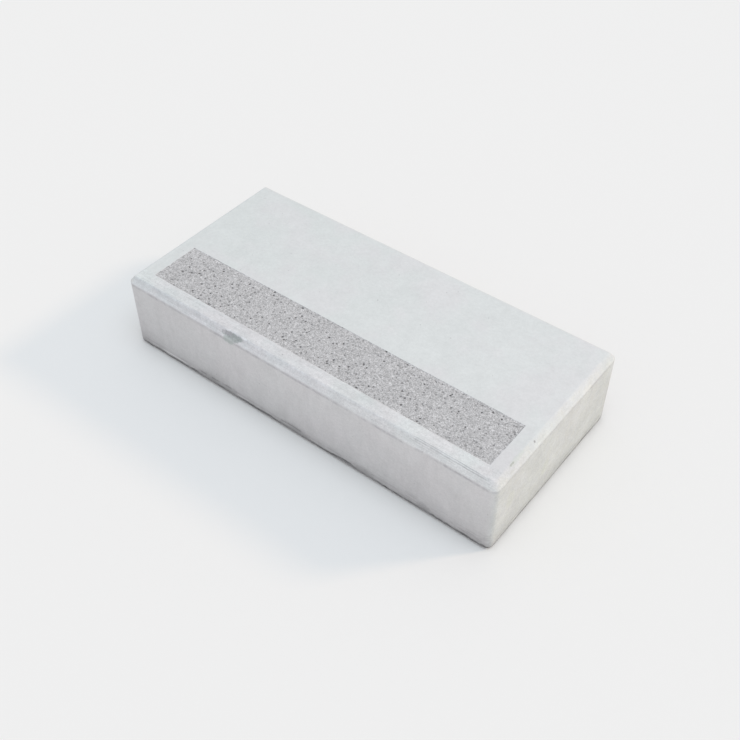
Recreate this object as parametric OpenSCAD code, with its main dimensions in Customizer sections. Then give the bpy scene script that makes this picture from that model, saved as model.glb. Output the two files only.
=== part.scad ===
// Precast concrete step block.
// One solid casting: a straight riser and tread, chamfers that roll around the softened upright
// corners, and a blasted anti-slip strip behind the nosing.
// X runs along the step, Y from the riser at the front to the back, Z up.
// The origin is the centre of the underside.

/* [Block] */
// Length of the step, end to end
block_length = 750; // [500:10:1500]
// Depth of the step, riser to back
block_depth = 350; // [300:10:450]
// Height of the riser
block_height = 150; // [120:5:200]
// Radius of the four upright corners
corner_radius = 12; // [12:1:30]

/* [Arrises] */
// Size of the 45 degree chamfer around the tread
tread_chamfer = 11; // [4:0.5:11.5]
// Size of the 45 degree chamfer around the underside
foot_chamfer = 5.5; // [2:0.5:11.5]
// Height of the seam that the mould's chamfer strip leaves under the tread chamfer
seam_height = 4; // [1:0.5:6]
// Depth of that seam below the faces of the block
seam_depth = 0.8; // [0.2:0.1:1.5]

/* [Anti-slip strip] */
// Size of the strip from its front edge to its back edge
strip_width = 94; // [40:2:150]
// Plain margin between the riser and the front edge of the strip
front_margin = 32; // [22:1:60]
// Plain margin between each end of the block and the strip
end_margin = 34.5; // [22:0.5:60]
// Depth to which the strip is blasted below the tread
strip_depth = 0.5; // [0.25:0.25:3]

/* [Hidden] */
concrete_grey = [0.80, 0.81, 0.82];
corner_facets = 64;
// The cutting solids reach this far past the faces that they cut
overshoot = 10;
strip_length = block_length - 2 * end_margin;
chamfer_foot = block_height - tread_chamfer;
seam_foot = chamfer_foot - seam_height;
// The seam is deepest a little above its middle and runs out downwards
seam_root = chamfer_foot - 0.4 * seam_height;

// Outline of the section on one side, from the underside up to the tread, at a face this far out
function side_profile(face) = [
    [face - foot_chamfer, 0],
    [face, foot_chamfer],
    [face, seam_foot],
    [face - seam_depth, seam_root],
    [face, chamfer_foot],
    [face - tread_chamfer, block_height]
];

// Half a section, closed along the upright axis that it is measured from
module half_section(face) {
    polygon(concat([[0, 0]], side_profile(face), [[0, block_height]]));
}

// The section between two opposite faces, drawn out along X
module run(span, length) {
    rotate([90, 0, 90])
        linear_extrude(height = length, center = true) {
            half_section(span / 2);
            mirror([1, 0])
                half_section(span / 2);
        }
}

// An upright corner: the same section turned about the corner's axis, so that the chamfers and the
// seam roll around it at an even height
module corner() {
    rotate_extrude($fn = corner_facets)
        half_section(corner_radius);
}

// The casting as it leaves the mould: one run along the step and one across it, each stopping at
// the corners' axes, and the four corners between them
module casting() {
    run(block_depth, block_length - 2 * corner_radius);
    rotate([0, 0, 90])
        run(block_length, block_depth - 2 * corner_radius);
    for (side_x = [-1, 1])
        for (side_y = [-1, 1])
            translate([
                side_x * (block_length / 2 - corner_radius),
                side_y * (block_depth / 2 - corner_radius),
                0
            ])
                corner();
}

// The anti-slip strip, sunk into the tread behind the nosing
module strip_recess() {
    translate([-strip_length / 2, front_margin - block_depth / 2, block_height - strip_depth])
        cube([strip_length, strip_width, strip_depth + overshoot]);
}

module step_block() {
    color(concrete_grey)
        difference() {
            casting();
            strip_recess();
        }
}

step_block();
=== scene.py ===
"""A precast concrete step block: one casting with a chamfered tread, softened upright corners and a
blasted anti-slip strip behind the nosing.

The casting is a single closed surface, worked out in numpy: a grid over the tread, with a finer grid
over the strip, and walls hung from the grid's rim. Its wear, its darkening near the ground and the
painted shade round its foot are worked out with it, as relief and as masks that the materials read as
attributes."""

import math

import bpy
import numpy as np
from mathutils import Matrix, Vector


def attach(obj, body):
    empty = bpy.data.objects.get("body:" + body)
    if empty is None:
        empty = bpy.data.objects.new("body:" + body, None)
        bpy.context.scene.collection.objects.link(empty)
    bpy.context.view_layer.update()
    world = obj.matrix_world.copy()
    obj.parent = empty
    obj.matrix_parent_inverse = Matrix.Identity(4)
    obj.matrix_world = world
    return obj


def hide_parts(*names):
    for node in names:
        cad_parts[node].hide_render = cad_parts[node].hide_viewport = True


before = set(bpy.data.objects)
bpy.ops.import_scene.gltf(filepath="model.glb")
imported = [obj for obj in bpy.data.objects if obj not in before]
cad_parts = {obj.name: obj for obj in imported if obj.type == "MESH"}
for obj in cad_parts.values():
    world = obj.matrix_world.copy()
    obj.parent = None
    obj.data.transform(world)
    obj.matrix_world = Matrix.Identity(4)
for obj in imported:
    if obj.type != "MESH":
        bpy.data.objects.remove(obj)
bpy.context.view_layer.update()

MM = 0.001

# -------------------- sizes, read from the CAD block


def cad_points(node):
    """The corner points of a CAD node, one row each."""
    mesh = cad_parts[node].data
    points = np.empty(len(mesh.vertices) * 3)
    mesh.vertices.foreach_get("co", points)
    return points.reshape(-1, 3)


BLOCK = cad_points("step_block")
HALF_LENGTH, HALF_DEPTH, HEIGHT = BLOCK.max(0)
TREAD = BLOCK[BLOCK[:, 2] > HEIGHT - 0.01 * MM]
CHAMFER = HALF_LENGTH - TREAD[:, 0].max()
BELOW_TREAD = (BLOCK[:, 2] < HEIGHT - 0.1 * MM) & (BLOCK[:, 2] > HEIGHT - 5 * MM)
STRIP = BLOCK[BELOW_TREAD & (np.abs(BLOCK[:, 0]) < HALF_LENGTH - 1.5 * CHAMFER)]
STRIP_DEPTH = HEIGHT - STRIP[:, 2].min()
STRIP_END = STRIP[:, 0].max()
STRIP_FRONT, STRIP_BACK = STRIP[:, 1].min(), STRIP[:, 1].max()
UNDERSIDE = BLOCK[BLOCK[:, 2] < 0.01 * MM]
FOOT = HALF_LENGTH - UNDERSIDE[:, 0].max()
CORNER_RADIUS = 12 * MM
CENTRE_X, CENTRE_Y = HALF_LENGTH - CORNER_RADIUS, HALF_DEPTH - CORNER_RADIUS

# The casting's own tolerances. The mould's chamfer strip along the front is in two lengths, and the
# shorter one, right of the joint, sits a little higher.
MOULD_JOINT = 235 * MM
FRONT_DROP, FRONT_DROP_RIGHT, FRONT_RUN = 13.5 * MM, 11.6 * MM, 8.6 * MM
END_DROP = 10.6 * MM
CHAMFER_RUN = 9.6 * MM
ARRIS_SOFTNESS = 2.6 * MM
SEAM_HEIGHT = 4 * MM
SEAM_DEPTH = 0.45 * MM
STRIP_SHIFT = 1.9 * MM
# The fine grid's cells along and across the strip.
STRIP_CELLS_ALONG, STRIP_CELLS_ACROSS = 590, 80
# How far from upright the plane leans back that the nosing's marks are measured along.
NOSING_LEAN = math.radians(52)

# The patch knocked out of the nosing and the smear under it, as ovals in millimetres: the middle
# along the step, the middle down the nosing, the reach along and the reach down.
KNOCKED_OVALS = ((-137, 8.2, 18.5, 5.8), (-151, 8.8, 7, 4.8), (-120, 6.8, 9, 4), (-127, 11.8, 8, 5.2))
SMEAR_OVAL = (-139, 15.5, 16, 7)
# Where the foot's dark line rises: how far along the face, over what reach and by how much, in
# millimetres, on the front and on the ends.
FRONT_LINE_RISES = ((-73, 19, 3.0), (101, 17, 3.4), (-120, 12, 1.5), (-325, 14, 1.2))
END_LINE_RISES = ((55, 32, 2.0), (106, 16, 3.8), (-75, 16, 1.5))

# -------------------- repeatable unevenness


def scatter(cells, seed):
    """Random numbers from -1 to 1, always the same for the same whole-numbered cell and seed."""
    x, y, z = (cells[:, i].astype(np.uint64) for i in range(3))
    mixed = x * np.uint64(374761393) + y * np.uint64(668265263) + z * np.uint64(1274126177)
    mixed = (mixed + np.uint64(seed) * np.uint64(2246822519)) & np.uint64(0xFFFFFFFF)
    mixed = ((mixed ^ (mixed >> np.uint64(13))) * np.uint64(1103515245)) & np.uint64(0xFFFFFFFF)
    mixed = ((mixed ^ (mixed >> np.uint64(15))) * np.uint64(2654435761)) & np.uint64(0xFFFFFFFF)
    return (mixed ^ (mixed >> np.uint64(16))).astype(float) / 0x7FFFFFFF - 1


def cloud(points, size, seed):
    """Smooth unevenness from -1 to 1: random numbers on a lattice whose cells have the given size,
    blended between the eight lattice points round each point by 3t^2 - 2t^3."""
    place = points / np.asarray(size) + 1000.0
    cell = np.floor(place).astype(np.int64)
    t = place - cell
    t = t * t * (3 - 2 * t)
    total = np.zeros(len(points))
    for corner in range(8):
        step = np.array([corner & 1, corner >> 1 & 1, corner >> 2 & 1])
        share = np.where(step, t, 1 - t).prod(1)
        total += share * scatter(cell + step, seed)
    return total


def clouds(points, size, seed, layers=3):
    """Several clouds in one, each half the size and half the strength of the one before."""
    total = sum(cloud(points, np.asarray(size) / 2**i, seed + i) / 2**i for i in range(layers))
    return total / (2 - 0.5 ** (layers - 1))


def stones(points, spacing, seed):
    """For stones strewn over the plan, one to a square cell: each level point's distance from the
    nearest stone's middle, and that stone's own random number from -1 to 1."""
    place = points / spacing + np.array([1000.0, 1000.0, 0.0])
    home = np.floor(place).astype(np.int64)
    nearest = np.full(len(points), np.inf)
    number = np.zeros(len(points))
    for step_x in (-1, 0, 1):
        for step_y in (-1, 0, 1):
            cell = home + np.array([step_x, step_y, 0])
            middle_x = cell[:, 0] + 0.5 + 0.42 * scatter(cell, seed)
            middle_y = cell[:, 1] + 0.5 + 0.42 * scatter(cell, seed + 1)
            away = np.hypot(place[:, 0] - middle_x, place[:, 1] - middle_y)
            closer = away < nearest
            nearest = np.where(closer, away, nearest)
            number = np.where(closer, scatter(cell, seed + 2), number)
    return nearest * spacing, number


def level(x, y):
    """The points of a plan, at height 0."""
    return np.column_stack([x, y, np.zeros(len(x))])


def rise(x, start, end):
    """0 before start, 1 after end, and 3t^2 - 2t^3 between them."""
    t = np.clip((x - start) / (end - start), 0, 1)
    return t * t * (3 - 2 * t)


def soft_least(a, b, radius):
    """The lesser of a and b, with the corner between them rounded over the radius."""
    blend = np.clip(0.5 + (b - a) / (2 * radius), 0, 1)
    return b * (1 - blend) + a * blend - radius * blend * (1 - blend)


# -------------------- the shape as it leaves the mould


def stretches(start, *pairs):
    """Grid lines from start through each (stop, cells) pair, with equal cells in each stretch."""
    lines = [np.array([start])]
    for stop, cells in pairs:
        lines.append(np.linspace(lines[-1][-1], stop, cells + 1)[1:])
    return np.concatenate(lines)


def strip_lines(start, end, cells):
    """The fine grid's lines across the strip: even cells inside, one narrow cell on each edge for
    the step down, and two cells of plain margin outside."""
    margin, step = 2.3 * MM, 0.35 * MM
    inside = (start + step, 1), (end - step, cells), (end + step, 1)
    return stretches(start - margin, (start - step, 2), *inside, (end + margin, 2))


def grid_lines():
    """The grid's lines in x and in y, coarse and fine, with how many coarse ones come before the
    fine. Every second fine line is a coarse one."""
    border, border_cells = 13 * MM, 9
    fine_x = strip_lines(-STRIP_END, STRIP_END, STRIP_CELLS_ALONG)
    fine_y = strip_lines(STRIP_FRONT, STRIP_BACK, STRIP_CELLS_ACROSS)
    left = stretches(-HALF_LENGTH, (-HALF_LENGTH + border, border_cells), (fine_x[0], 6))
    right = stretches(fine_x[-1], (HALF_LENGTH - border, 6), (HALF_LENGTH, border_cells))
    front = stretches(-HALF_DEPTH, (-HALF_DEPTH + border, border_cells), (fine_y[0], 5))
    back = stretches(fine_y[-1], (HALF_DEPTH - border, 34), (HALF_DEPTH, border_cells))
    coarse_x = np.concatenate([left, fine_x[2::2], right[1:]])
    coarse_y = np.concatenate([front, fine_y[2::2], back[1:]])
    return coarse_x, coarse_y, fine_x, fine_y, len(left) - 1, len(front) - 1


def inside_strip(x, y):
    """Distance inside the strip's straight outline, less than 0 outside it."""
    return np.minimum(STRIP_END - np.abs(x), np.minimum(y - STRIP_FRONT, STRIP_BACK - y))


def ragged_strip(x, y):
    """Moves the grid so that its lines along the strip's edges wander as the edge of the blasting
    does: by up to about 0.6 mm at the edge, fading to nothing 6 mm away. Slides the strip along by
    its shift."""
    wander = 0.55 * MM * clouds(level(x, y), 9 * MM, 21)
    along_x = rise(STRIP_END + 4 * MM - np.abs(x), 0, 6 * MM)
    along_y = rise(y, STRIP_FRONT - 6 * MM, STRIP_FRONT) * rise(-y, -STRIP_BACK - 6 * MM, -STRIP_BACK)
    to_front_or_back = np.minimum(np.abs(y - STRIP_FRONT), np.abs(y - STRIP_BACK))
    to_end = np.abs(np.abs(x) - STRIP_END)
    move_y = wander * (1 - rise(to_front_or_back, 0.5 * MM, 6 * MM)) * along_x
    move_x = wander * (1 - rise(to_end, 0.5 * MM, 6 * MM)) * along_y
    near_strip = 1 - rise(-inside_strip(x, y), 4 * MM, 14 * MM)
    return x + move_x + STRIP_SHIFT * near_strip, y + move_y


def round_corners(x, y):
    """Moves points in the plan's four corner squares onto quarter discs: a point keeps its larger
    distance from the disc's centre as its radius, and its place along the square's side becomes its
    angle."""
    a, b = np.abs(x) - CENTRE_X, np.abs(y) - CENTRE_Y
    inside = (a > 0) & (b > 0)
    a, b = np.where(inside, a, 1.0), np.where(inside, b, 1.0)
    radius = np.maximum(a, b)
    angle = np.where(a >= b, b / np.maximum(a, 1e-9), 2 - a / np.maximum(b, 1e-9)) * math.pi / 4
    round_x = np.sign(x) * (CENTRE_X + radius * np.cos(angle))
    round_y = np.sign(y) * (CENTRE_Y + radius * np.sin(angle))
    return np.where(inside, round_x, x), np.where(inside, round_y, y)


def plan_outward(x, y):
    """Outward direction in plan: away from the nearest point of the plan shrunk by the corner radius,
    or square to the nearest face for a point inside that."""
    away_x = x - np.clip(x, -CENTRE_X, CENTRE_X)
    away_y = y - np.clip(y, -CENTRE_Y, CENTRE_Y)
    inner = (away_x == 0) & (away_y == 0)
    to_end = HALF_LENGTH - np.abs(x) < HALF_DEPTH - np.abs(y)
    away_x = np.where(inner & to_end, np.sign(x), away_x)
    away_y = np.where(inner & ~to_end, np.where(y < 0, -1.0, 1.0), away_y)
    length = np.maximum(np.hypot(away_x, away_y), 1e-9)
    return np.column_stack([away_x, away_y]) / length[:, None]


def to_outline(x, y):
    """Distance in plan from the outline with its rounded corners, for points up to the radius in."""
    a, b = np.abs(x) - CENTRE_X, np.abs(y) - CENTRE_Y
    turned = CORNER_RADIUS - np.hypot(np.maximum(a, 0), np.maximum(b, 0))
    return np.where((a > 0) & (b > 0), turned, CORNER_RADIUS - np.maximum(a, b))


def chamfer_drop(x, y):
    """How far below the tread the chamfer's foot lies. It differs between the sides of the mould,
    changes at the joint in the front, and blends from side to side round the corners."""
    outward_x, outward_y = plan_outward(x, y).T
    at_joint = rise(x, MOULD_JOINT - 5 * MM, MOULD_JOINT + 5 * MM)
    front = FRONT_DROP + (FRONT_DROP_RIGHT - FRONT_DROP) * at_joint
    sides = np.where(outward_y < 0, front, CHAMFER) * outward_y**2
    ends = np.where(outward_x > 0, END_DROP, CHAMFER) * outward_x**2
    return sides + ends + 0.3 * MM * clouds(level(x, y), 60 * MM, 31)


def tread_height(x, y):
    """Height over the plan: the lesser of the tread and of a slope that rises from the outline, with
    the arris between them rounded."""
    drop = chamfer_drop(x, y)
    to_front = np.clip(-plan_outward(x, y)[:, 1], 0, 1) ** 2
    run = CHAMFER_RUN + (FRONT_RUN - CHAMFER_RUN) * to_front
    slope = HEIGHT - drop + to_outline(x, y) * drop / run
    return soft_least(slope, np.full_like(slope, HEIGHT), ARRIS_SOFTNESS)


def tread_points(x_lines, y_lines):
    """Points over the plan, with the grid place that each came from: x, y, z, grid x, grid y."""
    grid_x, grid_y = (lines.ravel() for lines in np.meshgrid(x_lines, y_lines, indexing="ij"))
    x, y = round_corners(*ragged_strip(grid_x, grid_y))
    return np.column_stack([x, y, tread_height(x, y), grid_x, grid_y])


def seam_strength(points):
    """How open the seam is, from 0 to 1: in long dashes, and faint on the right end."""
    places = level(*points[:, :2].T)
    dashes = 0.55 + 0.75 * clouds(places, 34 * MM, 41) + 0.45 * cloud(places, 7 * MM, 45)
    right_end = rise(points[:, 0], HALF_LENGTH - 6 * MM, HALF_LENGTH)
    towards_back = rise(points[:, 1], -HALF_DEPTH, HALF_DEPTH)
    return np.clip(dashes, 0.1, 1) * (1 - right_end * (0.7 - 0.4 * towards_back))


def seam_shape(drop, spread=0.0):
    """The seam's section, from 0 to 1 at its root, over the distance below the chamfer's foot. The
    spread widens it, both ways."""
    root = 0.45 * SEAM_HEIGHT
    return rise(drop, -spread, root) * (1 - rise(drop, root, SEAM_HEIGHT + spread))


def wall_rows(edge):
    """Rows of points from just under the rim down to the underside. The faces step in at the seam
    and turn under at the foot, whose chamfer is ragged and a little rounded."""
    wall_top = HEIGHT - CHAMFER
    past_seam = (wall_top - 4 * MM, 5), (wall_top - 8 * MM, 2)
    levels = stretches(wall_top, *past_seam, (34 * MM, 8), (FOOT, 8), (0.0, 5))[1:]
    outward = plan_outward(edge[:, 0], edge[:, 1])
    raise_by = edge[:, 2] - wall_top
    ragged = 1 + 0.22 * clouds(level(*edge[:, :2].T), 22 * MM, 51)
    rows = []
    for z in levels:
        row = edge.copy()
        row[:, 2] = z + raise_by * rise(z, wall_top - 40 * MM, wall_top)
        seam = seam_shape(edge[:, 2] - row[:, 2]) * seam_strength(row)
        turned = np.full(len(edge), FOOT - z)
        under = -soft_least(-turned * ragged, np.zeros(len(edge)), 1.8 * MM)
        row[:, :2] -= outward * (SEAM_DEPTH * seam + under)[:, None]
        rows.append(row)
    return rows


# -------------------- wear, relief, darkening near the ground and painted shade at the foot


def face_relief(points):
    """Unevenness of the cast faces: slow waves that a straight edge would show, and a fine one."""
    return 0.12 * MM * clouds(points, 110 * MM, 61) + 0.025 * MM * clouds(points, 8 * MM, 62)


def foot_relief(points):
    """Ridges and runs that the mould's base leaves in the lowest 30 mm of the faces."""
    z = points[:, 2]
    ridges = clouds(points, (26 * MM, 26 * MM, 4.5 * MM), 71)
    return 0.18 * MM * ridges * (1 - rise(z, 10 * MM, 30 * MM)) * rise(z, FOOT - 4 * MM, FOOT + 1 * MM)


def strip_relief(x, y):
    """Height of the blasted strip above its mean floor, and its dark pits: rounded grains of sand and
    stone that stand out of the paste, soft hollows, and pits where a stone has gone. The pits' value
    is 1 at the middle of each, 0 on its outline, and less than 0 outside."""
    places = level(x, y)
    away, number = stones(places, 3.1 * MM, 81)
    grains = np.clip(1 - away / (1.9 * MM), 0, 1) * (0.5 + 0.5 * number)
    hollows = clouds(places, 7 * MM, 84)
    crowding = clouds(places, 55 * MM, 95)
    away, number = stones(places, 9 * MM, 87)
    lot = number + 0.25 * crowding - 0.77
    large = np.where(lot > 0, 1 - away / ((1.85 + 2.6 * np.clip(lot, 0, 0.5)) * MM), -1)
    away, number = stones(places, 5.5 * MM, 90)
    lot = number + 0.2 * crowding - 0.30
    small = np.where(lot > 0, (0.16 + 0.47 * lot) * (1 - away / (2.6 * MM)), -1)
    pits = np.clip(np.maximum(large, small), -1, 1)
    height = 0.22 * MM * grains + 0.09 * MM * hollows - 0.6 * MM * rise(pits, -0.1, 0.5)
    return height, pits


def nosing_ovals(points, ovals):
    """1 at the middle of the nearest of the ovals on the nosing, 0 on its outline, and down to -1
    outside it. The distance down the nosing runs from the tread's front arris over chamfer and face
    alike, along the leaning plane."""
    behind = points[:, 1] + HALF_DEPTH - CHAMFER
    down = (HEIGHT - points[:, 2]) * math.cos(NOSING_LEAN) - behind * math.sin(NOSING_LEAN)
    along, down = points[:, 0] / MM, down / MM
    fields = [1 - np.hypot((along - x) / half_x, (down - y) / half_y) for x, y, half_x, half_y in ovals]
    on_nosing = rise(-points[:, 1], HALF_DEPTH - 30 * MM, HALF_DEPTH - 20 * MM)
    return np.clip(np.max(fields, axis=0), -1, 1) * on_nosing - (1 - on_nosing)


def darkening_near_ground(points, to_end):
    """How much darker the faces are made near the ground, from 0 to 1: a slow term that reaches up the
    face and a quicker one close to the foot, stronger on front and back than on the ends. The chamfer
    that turns under is darkened less."""
    z = points[:, 2]
    uneven = 1 + 0.2 * clouds(points, (60 * MM, 60 * MM, 30 * MM), 111)
    slow = (0.255 - 0.171 * to_end) * np.exp(-z / (50 * MM))
    quick = (0.45 - 0.17 * to_end) * np.exp(-z / (13 * MM))
    return np.clip((slow + quick) * uneven, 0, 0.85) * (0.62 + 0.38 * rise(z, 1.5 * MM, 8 * MM))


def foot_line(points, to_end):
    """How far a point is below the top of the dark line of painted shade round the foot, in
    millimetres, from -4 to 8.
    The top is 10.4 mm up, less 1.5 on the ends, with clouds of 26 and 7 mm, and goes up by
    rise * exp(-((along - place) / reach)^2) at each of the rises listed above. On the ends the
    distance counts 0.6 times, which softens the line there."""
    places = level(*points[:, :2].T)
    wander = 3.4 * clouds(places, 26 * MM, 131) + 0.9 * cloud(places, 7 * MM, 135)
    top = 10.4 - 1.5 * to_end + (1 - 0.3 * to_end) * wander
    x, y = points[:, 0] / MM, points[:, 1] / MM
    on_front = (1 - to_end) * (y < 0)
    for side, along, rises in ((on_front, x, FRONT_LINE_RISES), (to_end, y, END_LINE_RISES)):
        for place, reach, height in rises:
            top = top + side * height * np.exp(-(((along - place) / reach) ** 2))
    return np.clip((top - points[:, 2] / MM) * (1 - 0.4 * to_end), -4, 8)


# -------------------- the casting as one closed mesh


def joined_faces(rows):
    """Quads between neighbouring closed rings of point numbers, from the top ring down."""
    upper, lower = np.array(rows[:-1]), np.array(rows[1:])
    quads = [upper, lower, np.roll(lower, -1, 1), np.roll(upper, -1, 1)]
    return np.stack(quads, -1).reshape(-1, 4)


def grid_faces(index):
    """Quads of a grid of point numbers, facing up."""
    return np.stack([index[:-1, :-1], index[1:, :-1], index[1:, 1:], index[:-1, 1:]], -1)


def casting_surface():
    """Points and faces of the casting. The coarse tread grid has a window, which the strip's fine
    grid fills; the coarse cells round the window take the fine grid's extra point as a fifth corner,
    so that nothing gapes. The rim carries the walls, and one flat face closes the underside."""
    coarse_x, coarse_y, fine_x, fine_y, first_x, first_y = grid_lines()
    last_x, last_y = first_x + len(fine_x) // 2, first_y + len(fine_y) // 2
    coarse = tread_points(coarse_x, coarse_y)
    index = np.arange(len(coarse)).reshape(len(coarse_x), len(coarse_y))

    fine = tread_points(fine_x, fine_y)
    fine_index = len(coarse) + np.arange(len(fine)).reshape(len(fine_x), len(fine_y))
    shared = np.zeros(fine_index.shape, bool)
    shared[::2, [0, -1]] = True
    shared[[0, -1], ::2] = True
    window = index[first_x:last_x + 1, first_y:last_y + 1]
    on_coarse = np.zeros_like(fine_index)
    on_coarse[::2, ::2] = window
    fine_index = np.where(shared, on_coarse, fine_index)

    quads = grid_faces(index)
    keep = np.ones(quads.shape[:2], bool)
    keep[first_x:last_x, first_y:last_y] = False
    beside = np.zeros_like(keep)
    beside[first_x:last_x, [first_y - 1, last_y]] = True
    beside[[first_x - 1, last_x], first_y:last_y] = True
    plain = quads[keep & ~beside]
    fives = np.concatenate([
        np.insert(quads[first_x:last_x, first_y - 1], 3, fine_index[1::2, 0], 1),
        np.insert(quads[first_x:last_x, last_y], 1, fine_index[1::2, -1], 1),
        np.insert(quads[first_x - 1, first_y:last_y], 2, fine_index[0, 1::2], 1),
        np.insert(quads[last_x, first_y:last_y], 4, fine_index[-1, 1::2], 1),
    ])

    rim = np.concatenate([index[:-1, 0], index[-1, :-1], index[:0:-1, -1], index[0, :0:-1]])
    walls = wall_rows(coarse[rim, :3])
    wall_start = len(coarse) + len(fine)
    rings = [rim] + [wall_start + row * len(rim) + np.arange(len(rim)) for row in range(len(walls))]
    walls = np.concatenate(walls)

    points = np.concatenate([coarse, fine, np.column_stack([walls, walls[:, :2]])])
    faces = {
        "tread": plain,
        "fives": fives,
        "strip": grid_faces(fine_index).reshape(-1, 4),
        "walls": joined_faces(rings),
        "underside": rings[-1][::-1][None],
    }
    used = np.zeros(len(points), bool)
    for group in faces.values():
        used[group.ravel()] = True
    renumber = np.cumsum(used) - 1
    return points[used], {name: renumber[group] for name, group in faces.items()}


def outward_at(points, faces):
    """Outward direction at each point: the sum of the cross products of its quads' diagonals."""
    quads = np.concatenate([faces[name] for name in ("tread", "strip", "walls")])
    a, b, c, d = (points[quads[:, i]] for i in range(4))
    across = np.cross(c - a, d - b)
    total = np.zeros_like(points)
    for i in range(4):
        np.add.at(total, quads[:, i], across)
    return total / np.maximum(np.linalg.norm(total, axis=1, keepdims=True), 1e-12)


def make_casting():
    """The casting with its relief, and its wear, darkening near the ground and painted shade at the
    foot as point attributes.
    """
    surface, faces = casting_surface()
    points, grid = surface[:, :3], surface[:, 3:]
    outward = outward_at(points, faces)
    steep = 1 - np.clip(outward[:, 2], 0, 1) ** 2
    to_end = np.clip(outward[:, 0] ** 2 / np.maximum(1 - outward[:, 2] ** 2, 1e-6), 0, 1)
    x, y, z = points.T

    on_tread = z > HEIGHT - CHAMFER / 2
    depth_in = np.where(on_tread, inside_strip(grid[:, 0], grid[:, 1]), -1.0)
    in_strip = rise(depth_in, -0.35 * MM, 0.35 * MM)
    grain_height, pits = strip_relief(x, y)
    settled = rise(depth_in, 0.35 * MM, 1.6 * MM)
    knocked = nosing_ovals(points, KNOCKED_OVALS)
    chipped = rise(knocked + 0.15 * clouds(points, 5 * MM, 101), 0.0, 0.35)

    height = face_relief(points) + foot_relief(points)
    height += in_strip * (-STRIP_DEPTH) + settled * grain_height
    height -= chipped * (0.8 + 0.4 * clouds(points, 4 * MM, 121)) * MM
    height *= rise(z, 0, FOOT)
    moved = points + outward * height[:, None]

    mesh = bpy.data.meshes.new("step_casting")
    mesh.from_pydata(moved.tolist(), [], [face for group in faces.values() for face in group.tolist()])

    blasted = in_strip[faces["strip"]].max(1) > 0.5
    finish = {"tread": 0, "fives": 0, "strip": blasted, "walls": 0, "underside": 2}
    slots = [np.broadcast_to(finish[name], len(group)) for name, group in faces.items()]
    slots = np.concatenate(slots).astype(np.int32)
    mesh.polygons.foreach_set("material_index", slots)
    mesh.polygons.foreach_set("use_smooth", slots < 2)

    below_chamfer = HEIGHT - chamfer_drop(x, y) - z
    masks = {
        "steep": steep,
        "to_end": to_end,
        "seam": seam_shape(below_chamfer, 1.8 * MM) * seam_strength(points) * ~on_tread,
        "darkened_low": darkening_near_ground(points, to_end),
        "foot_line": foot_line(points, to_end),
        "knocked": knocked,
        "smeared": nosing_ovals(points, [SMEAR_OVAL]),
        "pits": pits,
    }
    for name, values in masks.items():
        mesh.attributes.new(name, "FLOAT", "POINT").data.foreach_set("value", values.astype(np.float32))
    mesh.update()
    casting = bpy.data.objects.new("step_casting", mesh)
    bpy.context.scene.collection.objects.link(casting)
    return casting


# -------------------- ways to write node trees


def is_output(value):
    """Whether a value is a node's output, and not a plain number or colour."""
    return isinstance(value, bpy.types.NodeSocket)


def drive(socket, value):
    """Gives an input a value, or the output that drives it."""
    if is_output(value):
        socket.id_data.links.new(value, socket)
    else:
        socket.default_value = value


def put(kind, feeds, **settings):
    """Adds a shader node with its settings, and feeds its inputs, by name or number. It goes into the
    tree that the first of the outputs among the feeds is in."""
    tree = next(value.id_data for value in feeds.values() if is_output(value))
    made = tree.nodes.new("ShaderNode" + kind)
    for name, value in settings.items():
        setattr(made, name, value)
    for name, value in feeds.items():
        drive(made.inputs[name], value)
    return made


def calc(operation, *numbers):
    """One step of arithmetic on numbers or outputs."""
    return put("Math", dict(enumerate(numbers)), operation=operation).outputs[0]


def times(product, *factors):
    """Numbers or outputs multiplied together."""
    for factor in factors:
        product = calc("MULTIPLY", product, factor)
    return product


def plus(total, *terms):
    """Adds to a number or output the product of each pair of them."""
    for amount, share in terms:
        total = calc("MULTIPLY_ADD", amount, share, total)
    return total


def darken(tone, amount, strength):
    """Takes off a tone a share of it: the amount, a mask from 0 to 1, times the strength."""
    return times(tone, plus(1.0, (amount, -strength)))


def ramp(number, start, end, low=0.0, high=1.0):
    """Smoothly from low, where the number is at start, to high, where it is at end."""
    feeds = {"Value": number, "From Min": start, "From Max": end, "To Min": low, "To Max": high}
    return put("MapRange", feeds, interpolation_type="SMOOTHSTEP").outputs["Result"]


def band(number, start, full, still, end):
    """Smoothly from 0 at start to 1 at full, and from 1 at still to 0 at end."""
    return times(ramp(number, start, full), ramp(number, end, still))


def blend(share, colour, other, how="MIX"):
    """Mixes a colour with another one, or multiplies it by it, by a share from 0 to 1."""
    colour, other = ((*c, 1.0) if isinstance(c, tuple) else c for c in (colour, other))
    return put("Mix", {0: share, 6: colour, 7: other}, data_type="RGBA", blend_type=how).outputs[2]


def tint(colour, share, turn, one, other):
    """Multiplies a colour, by a share from 0 to 1, by a tint that goes from one to the other as turn
    goes from 0 to 1."""
    return blend(share, colour, blend(turn, one, other), "MULTIPLY")


def dim(colour, amount):
    """Multiplies a colour or a place by a number."""
    return put("VectorMath", {0: colour, "Scale": amount}, operation="SCALE").outputs[0]


def vector(operation, a, b):
    """One step of arithmetic on vectors."""
    return put("VectorMath", {0: a, 1: b}, operation=operation).outputs[0]


def axes(place):
    """The x, y and z of a vector."""
    return put("SeparateXYZ", {"Vector": place}).outputs


def mask(place, name):
    """One of the casting's wear masks, in the tree that the place is in."""
    made = place.id_data.nodes.new("ShaderNodeAttribute")
    made.attribute_name = name
    return made.outputs["Fac"]


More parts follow.
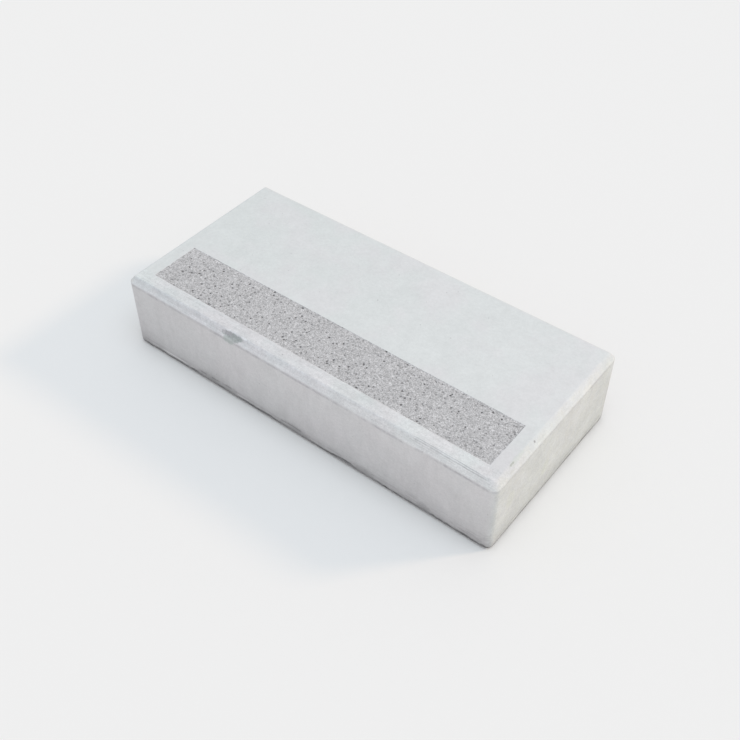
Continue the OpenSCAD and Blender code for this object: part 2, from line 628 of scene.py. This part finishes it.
def new_group(name, inputs, outputs):
    """An empty node group with the named inputs, numbers or vectors by what they start as, and with
    number outputs."""
    tree = bpy.data.node_groups.new(name, "ShaderNodeTree")
    for label, value in inputs.items():
        kind = "NodeSocketVector" if isinstance(value, tuple) else "NodeSocketFloat"
        tree.interface.new_socket(name=label, in_out="INPUT", socket_type=kind).default_value = value
    for label in outputs:
        tree.interface.new_socket(name=label, in_out="OUTPUT", socket_type="NodeSocketFloat")
    return tree, tree.nodes.new("NodeGroupInput").outputs, tree.nodes.new("NodeGroupOutput").inputs


def use(group, **feeds):
    """Places a node group and returns its outputs."""
    return put("Group", feeds, node_tree=group).outputs


# -------------------- effects that the materials share

ORIGIN = (0.0, 0.0, 0.0)
EVEN = (1.0, 1.0, 1.0)


def millimetres(place, size):
    """A place in metres, counted in steps of so many millimetres."""
    return dim(place, calc("DIVIDE", 1 / MM, size))


def clouding_group():
    """Soft light and dark clouds about 0, nearly all from -1 to 1. Size is in millimetres, and
    Stretch draws the clouds out along each axis."""
    inputs = {"Place": ORIGIN, "Size": 30.0, "Stretch": EVEN}
    tree, given, result = new_group("clouding", inputs, ["Tone"])
    place = millimetres(vector("DIVIDE", given["Place"], given["Stretch"]), given["Size"])
    noise = put("TexNoise", {"Vector": place, "Scale": 1.0, "Detail": 3.0, "Roughness": 0.55})
    drive(result["Tone"], times(calc("SUBTRACT", noise.outputs["Fac"], 0.5), 4.5))
    return tree


def pinholes_group():
    """Round pinholes from 0 to 1, one in some of the cells of a loose lattice. Spacing and Radius are
    in millimetres, and Share is how many of the cells have one."""
    inputs = {"Place": ORIGIN, "Spacing": 12.0, "Radius": 0.8, "Share": 0.3}
    tree, given, result = new_group("pinholes", inputs, ["Hole"])
    place = millimetres(given["Place"], given["Spacing"])
    cells = put("TexVoronoi", {"Vector": place, "Scale": 1.0}).outputs
    away = times(cells["Distance"], given["Spacing"])
    lot = axes(cells["Color"])
    radius = times(given["Radius"], calc("ADD", 0.5, lot["Y"]))
    hole = put("MapRange", {"Value": away, "From Min": radius, "From Max": 0.0}).outputs["Result"]
    hole = calc("MINIMUM", times(hole, 2.2), 1.0)
    drive(result["Hole"], times(hole, calc("LESS_THAN", lot["X"], given["Share"])))
    return tree


def grit_group():
    """Grains packed side by side: each grain's own tone about 0, and how near a point is to the
    grain's middle, from 0 to 1. Size is in millimetres."""
    tree, given, result = new_group("grit", {"Place": ORIGIN, "Size": 2.0}, ["Tone", "Body"])
    place = millimetres(given["Place"], given["Size"])
    cells = put("TexVoronoi", {"Vector": place, "Scale": 1.0}).outputs
    drive(result["Tone"], plus(-1.0, (axes(cells["Color"])["X"], 2.0)))
    drive(result["Body"], ramp(cells["Distance"], 0.75, 0.1))
    return tree


def blemish_group():
    """One oval mark from 0 to 1. Middle and Reach are in metres, and Ragged breaks its outline up."""
    inputs = {"Place": ORIGIN, "Middle": ORIGIN, "Reach": (0.01, 0.01, 0.01), "Ragged": 0.0}
    tree, given, result = new_group("blemish", inputs, ["Mark"])
    away = vector("SUBTRACT", given["Place"], given["Middle"])
    away = vector("DIVIDE", away, given["Reach"])
    away = put("VectorMath", {0: away}, operation="LENGTH").outputs["Value"]
    inside = calc("ADD", calc("SUBTRACT", 1.0, away), given["Ragged"])
    drive(result["Mark"], ramp(inside, 0.0, 0.5))
    return tree


CLOUDING, PINHOLES, GRIT, BLEMISH = clouding_group(), pinholes_group(), grit_group(), blemish_group()


def cloud_tone(place, size, stretch=EVEN):
    """The tone of a clouding, about 0."""
    return use(CLOUDING, Place=place, Size=size, Stretch=stretch)["Tone"]


def level_cloud(place, size):
    """A clouding's tone that stays the same from the ground up."""
    return cloud_tone(vector("MULTIPLY", place, (1.0, 1.0, 0.0)), size)


def cloud_turn(place, size, stretch=EVEN):
    """A clouding as a share from 0 to 1."""
    return ramp(cloud_tone(place, size, stretch), -0.5, 0.5)


def blemish(place, middle, reach, ragged=0.0):
    """One oval mark from 0 to 1, with its middle and its reach in millimetres."""
    middle, reach = (tuple(number * MM for number in numbers) for numbers in (middle, reach))
    return use(BLEMISH, Place=place, Middle=middle, Reach=reach, Ragged=ragged)["Mark"]


# -------------------- materials

# The front face, the right end and the tread in millimetres, for placing marks from.
FRONT, END, TOP = -HALF_DEPTH / MM, HALF_LENGTH / MM, HEIGHT / MM


def new_material(name, roughness, specular):
    """A material with its shader's plain numbers set, and the object's own coordinates."""
    material = bpy.data.materials.new(name)
    material.use_nodes = True
    tree = material.node_tree
    shader = tree.nodes["Principled BSDF"].inputs
    shader["Roughness"].default_value = roughness
    shader["Specular IOR Level"].default_value = specular
    return material, shader, tree.nodes.new("ShaderNodeTexCoord").outputs["Object"]


def bump(shader, height, strength=1.0):
    """Drives the shader's normal from a height in millimetres."""
    feeds = {"Height": height, "Distance": MM, "Strength": strength}
    drive(shader["Normal"], put("Bump", feeds).outputs["Normal"])


def cast_skin(place, nosing):
    """Colour of the clean cement skin: a cool tread, lighter to the right and greyer towards the
    nosing, neutral front and back, and warm greenish ends, all with soft tints."""
    x, y, z = axes(place)
    steep, to_end = mask(place, "steep"), mask(place, "to_end")
    along = ramp(x, -HALF_LENGTH, HALF_LENGTH)
    tread = blend(along, (0.673, 0.702, 0.711), (0.709, 0.729, 0.740))
    near_front = ramp(y, -20 * MM, -150 * MM)
    near_front = times(near_front, ramp(x, -360 * MM, -300 * MM, 0.4, 1.0))
    along = ramp(x, -250 * MM, 250 * MM)
    tread = tint(tread, near_front, along, (0.982, 0.966, 0.980), (0.958, 0.950, 0.955))
    along = ramp(x, -300 * MM, 0.0)
    front = blend(along, (0.658, 0.647, 0.652), (0.676, 0.665, 0.670))
    blotchy = plus(z, (cloud_tone(place, 11.0), 2.4 * MM))
    below_arris = ramp(blotchy, HEIGHT - 3.5 * MM, HEIGHT - 8 * MM)
    ends = blend(below_arris, (0.677, 0.695, 0.693), (0.664, 0.677, 0.659))
    colour = blend(steep, tread, blend(to_end, front, ends))

    # the front chamfer turns warmer and lighter to the right, and the ends' arrises are creamy
    slope = times(band(steep, 0.12, 0.4, 0.75, 0.95), calc("SUBTRACT", 1.0, to_end))
    along = ramp(x, -150 * MM, 300 * MM)
    colour = tint(colour, slope, along, (0.986, 0.990, 1.002), (1.030, 1.030, 1.022))
    to_arris = calc("ABSOLUTE", x)
    to_arris = ramp(to_arris, HALF_LENGTH - 13.5 * MM, HALF_LENGTH - 9.5 * MM)
    to_arris = times(to_arris, ramp(z, HEIGHT - 12 * MM, HEIGHT - 10 * MM))
    cream = ramp(cloud_tone(place, 9.0, (1.0, 1.8, 1.0)), -0.2, 0.6, 0.0, 0.9)
    colour = blend(times(cream, to_arris), colour, (1.020, 1.010, 0.985), "MULTIPLY")

    # slow greenish and pinkish tints all over, quicker bluish and yellowish ones on the ends
    share = ramp(steep, 0.0, 1.0, 1.0, 0.35)
    turn = cloud_turn(place, 95.0)
    colour = tint(colour, share, turn, (0.995, 1.004, 1.000), (1.013, 0.994, 1.002))
    turn, on_end = cloud_turn(place, 14.0), times(to_end, steep)
    colour = tint(colour, on_end, turn, (0.997, 0.999, 1.009), (1.003, 1.001, 0.990))
    turn = cloud_turn(place, 22.0, (1.7, 1.0, 1.0))
    return tint(colour, nosing, turn, (0.988, 1.004, 1.003), (1.003, 0.999, 0.999))


def cast_tone(place, nosing):
    """Light and dark of the cement skin about 1: clouds, each with its size in millimetres, its
    stretch, its strength all over, and what that is more by on the nosing, steep faces or ends."""
    steep = mask(place, "steep")
    areas = {"nosing": nosing, "steep": steep, "ends": times(mask(place, "to_end"), steep)}
    layers = (
        (120.0, EVEN, 0.014, {"ends": 0.030}),
        (70.0, (1.8, 1.0, 1.0), 0.0, {"nosing": 0.020}),
        (26.0, EVEN, 0.024, {"nosing": 0.026, "ends": 0.036}),
        (9.0, EVEN, 0.016, {"ends": 0.008}),
        (5.5, EVEN, 0.029, {"nosing": 0.045}),
        # the grain, and fine lines scored along the nosing
        (2.2, EVEN, 0.026, {"nosing": 0.060, "steep": 0.026, "ends": 0.048}),
        (2.1, (22.0, 1.0, 1.0), 0.0, {"nosing": 0.060}),
        # runs down the faces
        (12.0, (1.0, 1.0, 4.0), 0.0, {"steep": 0.030, "ends": -0.018}),
    )
    tone = 1.0
    for size, stretch, strength, more in layers:
        strength = plus(strength, *((areas[area], extra) for area, extra in more.items()))
        tone = plus(tone, (cloud_tone(place, size, stretch), strength))
    return tone


def nosing_streaks(place, down):
    """Lines that the mould's chamfer strip has scored along the nosing right of the joint, from 0 to
    1: three of them, 3.2 mm apart down the slope, the lowest faint, and broken along their length but
    for the stretch next to the joint."""
    x = axes(place)["X"]
    slow, quick = cloud_tone(place, 40.0, (3.0, 1.0, 1.0)), cloud_tone(place, 12.0, (1.5, 1.0, 1.0))
    row = plus(calc("SUBTRACT", down, 1.4), (slow, 0.5), (quick, 0.35))
    line = ramp(calc("PINGPONG", row, 1.6), 1.05, 0.3)
    broken = ramp(cloud_tone(place, 5.5, (6.0, 1.0, 1.0)), -0.5, 0.6)
    broken = calc("MAXIMUM", broken, ramp(x, 272 * MM, 242 * MM, 0.0, 0.9))
    broken = times(broken, ramp(down, 5.2, 6.4, 1.0, 0.35))
    ends = band(x, 210 * MM, 240 * MM, 355 * MM, 370 * MM)
    return times(line, broken, ends, band(down, 0.3, 0.9, 9.8, 11.0))


def end_chamfer_light(place):
    """What the rubbed chamfers of the two ends are lighter by, in patches, and most along their lower
    rim and at one place on the right."""
    below = times(calc("SUBTRACT", HEIGHT, axes(place)["Z"]), 1 / MM)
    rubbed = blemish(place, (END, -92, TOP - 5), (12, 52, 12))
    patchy = cloud_tone(place, 8.0, (1.0, 1.6, 1.0))
    rim = ramp(below, 6.5, 9.0)
    light = plus(0.012, (rim, 0.045), (patchy, 0.040), (rubbed, 0.018))
    return times(band(below, 1.0, 4.0, 10.4, 11.4), light, mask(place, "to_end"))


def front_rim_light(place, down):
    """What the front chamfer is lighter by along its lower rim, which is rubbed, most to the left,
    and a little dull between 60 and 215 mm right of the middle."""
    x = axes(place)["X"]
    raised = ramp(x, MOULD_JOINT - 5 * MM, MOULD_JOINT + 5 * MM, 0.0, 1.3)
    rim = band(calc("ADD", down, raised), 9.5, 12.5, 15.0, 16.4)
    rim = times(rim, ramp(x, -60 * MM, 60 * MM, 0.080, 0.035))
    rim = darken(rim, band(x, 60 * MM, 90 * MM, 190 * MM, 215 * MM), 1.3)
    return times(rim, calc("SUBTRACT", 1.0, mask(place, "to_end")))


def arris_highlights(place, down):
    """Painted highlights along the tread's front arris: pale broken flecks, from 0 to 1."""
    line = ramp(calc("ABSOLUTE", calc("SUBTRACT", down, 0.8)), 1.5, 0.3)
    return times(line, ramp(cloud_tone(place, 6.0, (4.0, 1.0, 1.0)), 0.15, 0.7))


def foot_patches(place, ragged):
    """Long low patches on the front where the ground has smeared the foot, from 0 to 1."""
    patches = 0.0
    for x, half_length in ((-202, 38), (-149, 25), (-6, 46), (137, 30), (254, 20)):
        patch = blemish(place, (x, FRONT, 10), (half_length, 30, 17), ragged)
        patches = calc("MAXIMUM", patches, patch)
    return patches


def level_run(place, height, wander, outline, dash, gap):
    """A broken run along the faces, from 0 to 1, about a height in millimetres. The outline holds its
    outer and its full half width, the dash the size of its pieces, and the gap what breaks it."""
    middle = plus(height, (level_cloud(place, 60.0), wander))
    above = calc("SUBTRACT", calc("DIVIDE", axes(place)["Z"], MM), middle)
    run = ramp(calc("ABSOLUTE", above), *outline)
    return times(run, ramp(level_cloud(place, dash), *gap))


def foot_streaks(place, patches):
    """Thin dark runs lying along the lowest part of the faces, from 0 to 1: one that wanders above
    the foot, darkest in the smeared patches, and many short ones, most near the front's right end."""
    x, _, z = axes(place)
    run = level_run(place, 17.8, 2.2, (2.4, 0.4), 26.0, (-0.1, 0.3))
    run = times(run, plus(0.35, (patches, 0.65)))
    short = ramp(cloud_tone(place, 4.2, (9.0, 9.0, 1.0)), 0.1, 0.5)
    low = ramp(z, 46 * MM, 20 * MM)
    right = ramp(x, 120 * MM, 230 * MM, 0.1, 0.42)
    short = times(short, low, right, ramp(mask(place, "to_end"), 0.9, 0.3))
    return calc("MAXIMUM", run, short)


def foot_glints(place):
    """Painted highlights: short pale runs between the foot's dark line and the one above it, from 0 to
    1.
    """
    return level_run(place, 13.6, 1.1, (1.9, 0.3), 20.0, (0.05, 0.5))


def dark_foot(place, fine, patches):
    """The dark line round the foot, painted shade with some grime, from 0 to 1: strongest just under
    its top, uneven along its length, thinner in the smeared patches, and fainter on the ends, most of
    all the left one."""
    line = plus(mask(place, "foot_line"), (fine, 0.6))
    dark = times(ramp(line, -0.9, 1.2), ramp(line, 6.8, 2.4, 0.24, 1.0))
    dark = darken(dark, mask(place, "to_end"), 0.16)
    left = ramp(axes(place)["X"], -373 * MM, -345 * MM, 0.5, 1.0)
    slow = ramp(level_cloud(place, 34.0), -0.7, 0.5, 0.72, 1.0)
    quick = ramp(level_cloud(place, 11.0), -0.6, 0.4, 0.72, 1.0)
    return darken(times(dark, left, slow, quick), patches, 0.72)


def small_marks(place, colour, ragged):
    """Lays the casting's small stains over its colour: a dark peck, a green smear and a scrape on
    the right arris, specks on the tread, and yellowish lichen on the right end."""
    torn = times(ragged, 1.8)
    marks = (
        (0.60, (0.20, 0.19, 0.20), (END - 7, -64.6, TOP - 3), (1.9, 2.4, 4), 0.0),
        (0.26, (0.52, 0.61, 0.53), (END - 9.5, -108, TOP), (5, 24, 8), torn),
        (0.45, (0.30, 0.32, 0.26), (END - 9.3, -122, TOP), (1.8, 8, 6), torn),
    )
    for strength, stain, middle, reach, outline in marks:
        mark = blemish(place, middle, reach, outline)
        colour = blend(times(mark, strength), colour, stain)
    specks = blemish(place, (148, 38, TOP), (1.6, 1.6, 2))
    for x, y in ((-349, 135), (-341, 137)):
        speck = blemish(place, (x, y, TOP), (3, 3, 2), ragged)
        specks = calc("MAXIMUM", specks, times(speck, 0.4))
    colour = blend(times(specks, 0.3), colour, (0.35, 0.34, 0.36))
    low, high = (
        blemish(place, (END, y, z), (10, 14, 22), ragged) for y, z in ((-27, 59), (-128, 82))
    )
    lichen = times(calc("MAXIMUM", low, high), 0.5)
    return blend(lichen, colour, (1.0, 1.01, 0.945), "MULTIPLY")


def stains_and_painted_highlights(place, tone, ragged):
    """Broad stains of the nosing and the front, with how much each darkens, or less than 0 where it is
    lighter, being rubbed or, at the arris flecks and the low glint, a painted highlight; its middle and
    its reach. The rounded upright corners are then made a little darker."""
    stains = (
        # round the knocked patch, with three painted highlights on its arris
        (0.04, (-155, FRONT + 12, TOP), (75, 34, 30)),
        (-0.09, (-147, FRONT + 9, TOP - 0.5), (9, 2.2, 2)),
        (-0.19, (-111, FRONT + 9, TOP - 0.5), (9, 2.2, 2)),
        (-0.07, (-178, FRONT + 9, TOP - 0.5), (9, 2.2, 2)),
        # under the seam, and on the nosing: a grey stain, the rubbed right part and the left corner
        (0.055, (-206, FRONT, TOP - 15.5), (62, 8, 4.5)),
        (0.035, (118, FRONT + 18, TOP), (42, 22, 10)),
        (-0.022, (265, FRONT + 20, TOP), (120, 24, 8)),
        (-0.05, (-366, FRONT + 8, TOP - 3), (24, 20, 14)),
        # the front's right half, pale above and grey in the middle, and a painted highlight low on the
        # left
        (-0.02, (250, FRONT, 122), (160, 8, 34)),
        (0.020, (250, FRONT, 64), (260, 12, 50)),
        (-0.40, (-286, FRONT, 13.6), (40, 8, 2.6)),
    )
    for strength, middle, reach in stains:
        tone = darken(tone, blemish(place, middle, reach, ragged), strength)
    turning = band(mask(place, "to_end"), 0.35, 0.65, 0.90, 0.995)
    return darken(tone, times(turning, mask(place, "steep")), 0.04)


def knocked_patch(place, colour, down, ragged):
    """Lays the smear and then the knocked patch over the nosing's colour. Gives the colour, and the
    share of the patch from 0 to 1."""
    smear = ramp(calc("ADD", mask(place, "smeared"), ragged), 0.0, 0.35, 0.0, 0.72)
    colour = blend(smear, colour, (0.435, 0.478, 0.462))
    hurt = ramp(calc("ADD", mask(place, "knocked"), ragged), -0.02, 0.30, 0.0, 0.93)
    pale = blemish(place, (-152.5, FRONT + 6, TOP - 5), (3.6, 9, 6), ragged)
    hurt = darken(hurt, pale, 0.45)
    along = ramp(axes(place)["X"], -144 * MM, -130 * MM)
    bruise = blend(along, (0.405, 0.400, 0.420), (0.375, 0.402, 0.402))
    bruise = blend(ramp(down, 8.0, 13.0), bruise, (0.43, 0.455, 0.45))
    bruise = dim(bruise, plus(1.0, (cloud_tone(place, 3.6), 0.20)))
    return blend(hurt, colour, bruise), hurt


def cast_concrete():
    """Smooth concrete as it leaves the mould: pale cement skin with soft clouds and a fine mottle,
    pinholes, a darkened seam, a knocked patch, darkening near the ground, painted shade along the foot,
    and painted highlights on the front arris and above the foot."""
    material, shader, place = new_material("cast_concrete", 0.8, 0.35)
    _, y, z = axes(place)
    behind = calc("ADD", y, HALF_DEPTH - CHAMFER)
    down = times(calc("SUBTRACT", HEIGHT, z), math.cos(NOSING_LEAN) / MM)
    down = plus(down, (behind, -math.sin(NOSING_LEAN) / MM))
    on_end = times(mask(place, "to_end"), mask(place, "steep"))
    nosing = band(down, -22.0, -12.0, 13.0, 17.0)
    nosing = times(nosing, calc("SUBTRACT", 1.0, on_end))
    fine = cloud_tone(place, 5.0)
    grain = cloud_tone(place, 1.6)
    ragged = plus(times(fine, 0.16), (grain, 0.10))
    holes = use(PINHOLES, Place=place, Spacing=13.0, Radius=0.9, Share=0.22)["Hole"]
    streaks = nosing_streaks(place, down)
    patches = foot_patches(place, ragged)

    tone = cast_tone(place, nosing)
    darker = (
        (holes, 0.3),
        (mask(place, "darkened_low"), 1.0),
        (streaks, 0.25),
        (foot_streaks(place, patches), 0.36),
        (patches, 0.17),
    )
    for amount, strength in darker:
        tone = darken(tone, amount, strength)
    tone = stains_and_painted_highlights(place, tone, ragged)
    tone = calc("ADD", tone, front_rim_light(place, down))
    tone = calc("ADD", tone, end_chamfer_light(place))
    # Painted highlights on the front arris and above the foot's dark line.
    flecks = times(arris_highlights(place, down), nosing)
    tone = plus(tone, (flecks, 0.06), (foot_glints(place), 0.11))

    colour = dim(cast_skin(place, nosing), tone)
    # The seam is darker in colour as well as sunk.
    seam = times(mask(place, "seam"), ramp(fine, -0.8, 0.5, 0.22, 0.50))
    colour = blend(seam, colour, (0.30, 0.29, 0.32))
    # The foot's dark line is painted shade where the foot meets the ground, with some grime in it.
    colour = blend(dark_foot(place, fine, patches), colour, (0.105, 0.103, 0.107))
    colour = small_marks(place, colour, ragged)
    colour, hurt = knocked_patch(place, colour, down, ragged)
    drive(shader["Base Color"], colour)
    drive(shader["Roughness"], ramp(fine, -1.0, 1.0, 0.76, 0.86))

    chipped = times(hurt, grain)
    height = times(fine, 0.04)
    bump(shader, plus(height, (grain, 0.015), (holes, -0.35), (streaks, -0.2), (chipped, 0.25)))
    return material


def blasted_concrete():
    """The strip, with its cement skin blasted off: grey paste packed with sand, light and dark grains,
    and pits, darkened with painted shade together with dark grains."""
    material, shader, place = new_material("blasted_concrete", 0.92, 0.25)
    coarse, medium, sand = (use(GRIT, Place=place, Size=size) for size in (3.2, 2.1, 1.1))
    tone = plus(1.0, (coarse["Tone"], 0.06), (medium["Tone"], 0.15), (sand["Tone"], 0.31))
    palest = ramp(medium["Tone"], 0.80, 0.95)
    tone = plus(tone, (palest, 0.11), (cloud_tone(place, 45.0), 0.045))
    # The pits are darker in colour as well as sunk: painted shade in them, together with dark grains.
    pit = plus(mask(place, "pits"), (cloud_tone(place, 1.6), 0.08))
    pit = ramp(pit, 0.0, 0.5)
    tone = darken(tone, pit, 0.74)
    drive(shader["Base Color"], dim((0.496, 0.496, 0.509), tone))
    height = times(sand["Body"], 0.12)
    bump(shader, plus(height, (medium["Body"], 0.12), (pit, -0.3)), 0.8)
    return material


def bedding_concrete():
    """The underside: struck off rough, and stained by what it lay on."""
    material, shader, place = new_material("bedding_concrete", 0.95, 0.2)
    drag = cloud_tone(place, 7.0, (4.0, 1.0, 1.0))
    holes = use(PINHOLES, Place=place, Spacing=9.0, Radius=1.6, Share=0.4)["Hole"]
    tone = plus(1.0, (cloud_tone(place, 60.0), 0.10), (drag, 0.05))
    tone = darken(tone, holes, 0.3)
    drive(shader["Base Color"], dim((0.46, 0.455, 0.44), tone))
    bump(shader, plus(times(drag, 0.25), (holes, -0.8)))
    return material


casting = make_casting()
for finish in (cast_concrete(), blasted_concrete(), bedding_concrete()):
    casting.data.materials.append(finish)
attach(casting, "root")
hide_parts("step_block")

# -------------------- floor, light and camera

# The floor's own tone, its half width in metres, and its colour as the lamps and the sky light it,
# which is what shows past its far edge.
FLOOR_TONE = 0.855
FLOOR_HALF_WIDTH = 12.0
LIT_FLOOR = (0.867, 0.869, 0.869)
SKY_LIGHT = (0.694, 0.694, 0.707)
# The camera's direction from the block in degrees, its distance in metres, and how far it is slid to
# the right and up across its view.
VIEW_AZIMUTH, VIEW_ELEVATION, VIEW_DISTANCE = 38.05, 44.92, 1.791
VIEW_SLIDE = (11.25 * MM, 11.85 * MM, 0)


def make_floor():
    """A wide, pale, matt floor."""
    half = FLOOR_HALF_WIDTH
    mesh = bpy.data.meshes.new("floor")
    corners = [(-half, -half, 0), (half, -half, 0), (half, half, 0), (-half, half, 0)]
    mesh.from_pydata(corners, [], [(0, 1, 2, 3)])
    floor = bpy.data.objects.new("floor", mesh)
    bpy.context.scene.collection.objects.link(floor)
    material, shader, _ = new_material("pale_floor", 1.0, 0.0)
    shader["Base Color"].default_value = (FLOOR_TONE,) * 3 + (1,)
    mesh.materials.append(material)


def make_sky():
    """Even light from all round, and the lit floor's tone for what the camera sees past the floor,
    straight, in gloss or through glass."""
    world = bpy.data.worlds.new("sky")
    world.use_nodes = True
    tree = world.node_tree
    rays = tree.nodes.new("ShaderNodeLightPath").outputs
    seen = calc("MAXIMUM", rays["Is Camera Ray"], rays["Is Glossy Ray"])
    seen = calc("MAXIMUM", seen, rays["Is Transmission Ray"])
    drive(tree.nodes["Background"].inputs["Color"], blend(seen, SKY_LIGHT, LIT_FLOOR))
    bpy.context.scene.world = world


def direction(azimuth, elevation):
    """The direction out to a place round and above the block, in degrees: azimuth 0 is in front of
    it, and 90 off its right end."""
    around, up = math.radians(azimuth), math.radians(elevation)
    return Vector((math.sin(around) * math.cos(up), -math.cos(around) * math.cos(up), math.sin(up)))


def make_lamp(name, colour, strength, width, azimuth, elevation):
    """A distant lamp, as wide as the angle given. A strength of 1 lights a white face to white."""
    lamp = bpy.data.lights.new(name, "SUN")
    lamp.color = colour
    lamp.energy = strength * math.pi
    lamp.angle = math.radians(width)
    lamp_object = bpy.data.objects.new(name, lamp)
    lamp_object.rotation_euler = direction(azimuth, elevation).to_track_quat("Z", "Y").to_euler()
    bpy.context.scene.collection.objects.link(lamp_object)


def make_camera():
    """The camera looks back at the middle of the underside from its own direction, and is then slid
    a little across the view."""
    back = direction(VIEW_AZIMUTH, VIEW_ELEVATION)
    turn = (-back).to_track_quat("-Z", "Y")
    data = bpy.data.cameras.new("camera")
    data.lens = 50
    data.sensor_width = 36
    camera = bpy.data.objects.new("camera", data)
    camera.location = back * VIEW_DISTANCE + turn @ Vector(VIEW_SLIDE)
    camera.rotation_mode = "QUATERNION"
    camera.rotation_quaternion = turn
    bpy.context.scene.collection.objects.link(camera)
    bpy.context.scene.camera = camera


make_floor()
make_sky()
make_lamp("low_warm_lamp", (1.0, 0.724, 0.492), strength=0.246, width=9, azimuth=138.5, elevation=28.2)
make_lamp("high_cool_lamp", (0.811, 0.940, 1.0), strength=0.265, width=45, azimuth=70, elevation=72)
make_camera()
bpy.context.scene.view_settings.view_transform = "Standard"
